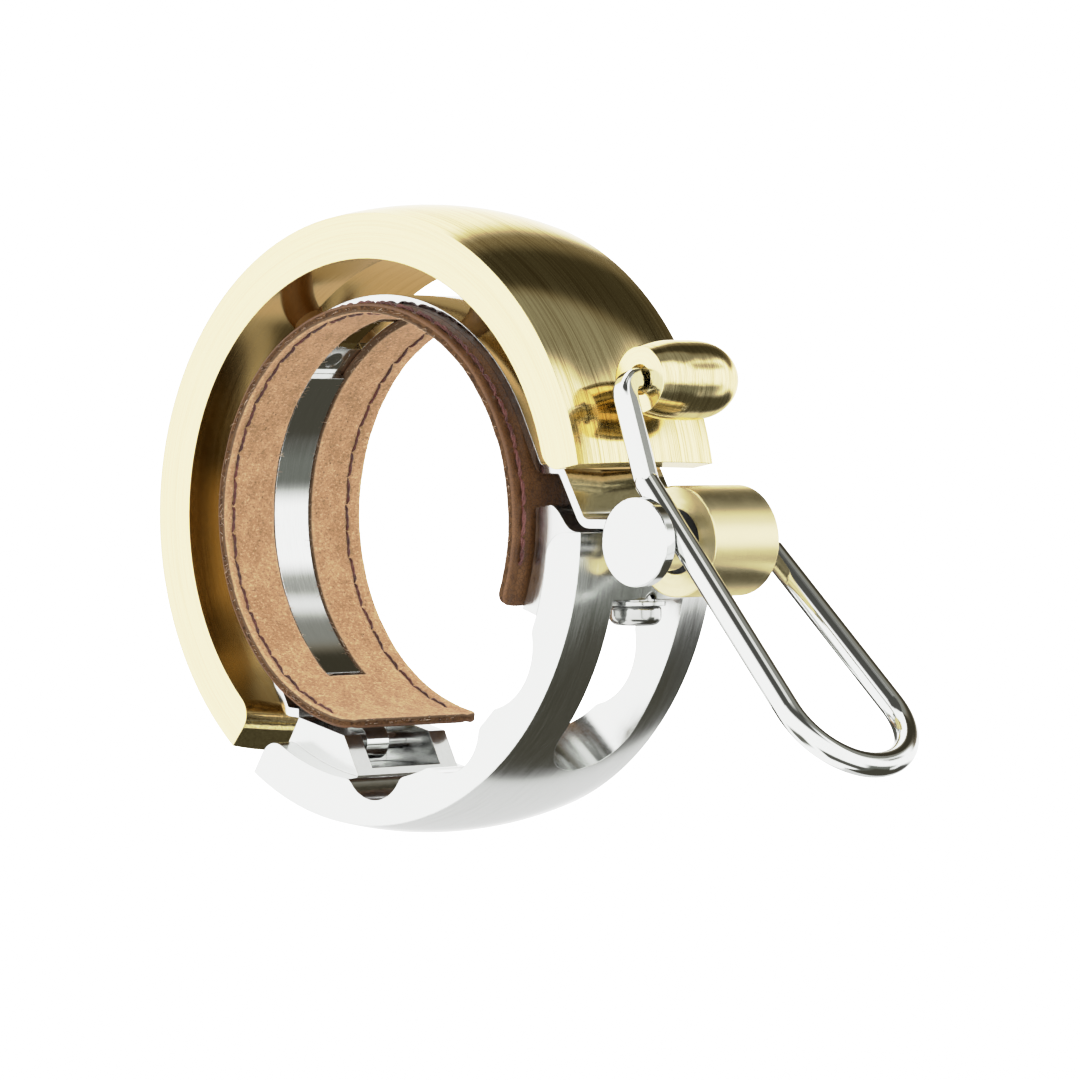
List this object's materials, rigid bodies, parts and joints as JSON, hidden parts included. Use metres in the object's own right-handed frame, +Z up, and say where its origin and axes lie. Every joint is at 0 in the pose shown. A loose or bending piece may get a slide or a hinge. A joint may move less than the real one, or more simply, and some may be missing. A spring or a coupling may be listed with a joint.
{
  "type": "bicycle bell",
  "caption": "Ring-shaped brass handlebar bell on a leather-lined steel clamp band, with a hinged lower cradle and a sprung wire finger lever that carries a brass hammer.",
  "frame": {"origin": "on the handlebar's axis, at the middle of the bell's width", "axes": "+Y along the handlebar, +X towards the finger lever, +Z up, with the bell ring above and the cradle below"},
  "size_m": [0.0724, 0.0152, 0.0493],
  "materials": {
    "brushed_brass": "brushed",
    "satin_brass": "satin",
    "polished_steel": "polished",
    "plain_steel": "satin",
    "spring_steel": "satin",
    "tan_leather": "suede inside, smooth outside",
    "waxed_thread": "waxed",
    "dark_nylon": "matte",
    "amber_rubber": "matte"
  },
  "bodies": {
    "clamp": {"clamp_band": "polished_steel", "leather_liner": "tan_leather", "stitching_front": "waxed_thread", "stitching_rear": "waxed_thread", "bell_ring": "brushed_brass", "ring_stud_top": "plain_steel", "ring_stud_side": "plain_steel", "ring_grommet_top": "amber_rubber", "ring_grommet_side": "amber_rubber", "clamp_nut": "plain_steel", "pivot_barrel": "satin_brass", "pivot_pin": "polished_steel", "retaining_clip": "spring_steel", "front_bush": "dark_nylon", "rear_bush": "dark_nylon", "torsion_spring": "spring_steel"},
    "cradle": {"cradle": "polished_steel", "cradle_hinge_pin": "plain_steel"},
    "screw_carrier": {"screw_washer": "plain_steel"},
    "screw": {"clamp_screw": "plain_steel"},
    "striker": {"lever_hub": "polished_steel", "rear_collar": "polished_steel", "striker_wire": "polished_steel", "hammer": "brushed_brass"}
  },
  "joints": [
    {"name": "striker_swing", "type": "hinge", "parent": "clamp", "child": "striker", "pos_m": [0.02945, 0, -0.0015], "axis": [0, 1, 0], "range_deg": [-2.2, 28], "stiffness_Nm_per_rad": 0.004, "deforming": ["torsion_spring"]},
    {"name": "cradle_swing", "type": "hinge", "parent": "clamp", "child": "cradle", "pos_m": [-0.0074, 0, -0.018], "axis": [0, 1, 0], "range_deg": [0, 2]},
    {"name": "screw_advance", "type": "slide", "parent": "clamp", "child": "screw_carrier", "axis": [0, 0, -1], "range_m": [0, 0.0011]},
    {"name": "screw_turn", "type": "hinge", "parent": "screw_carrier", "child": "screw", "pos_m": [0.0222, 0, -0.0065], "axis": [0, 0, 1], "range_deg": [0, 780]}
  ],
  "couplings": [
    {"joint": "screw_advance", "follows": "cradle_swing", "m_per_rad": 0.0298},
    {"joint": "screw_turn", "follows": "cradle_swing", "ratio": 374.5}
  ]
}
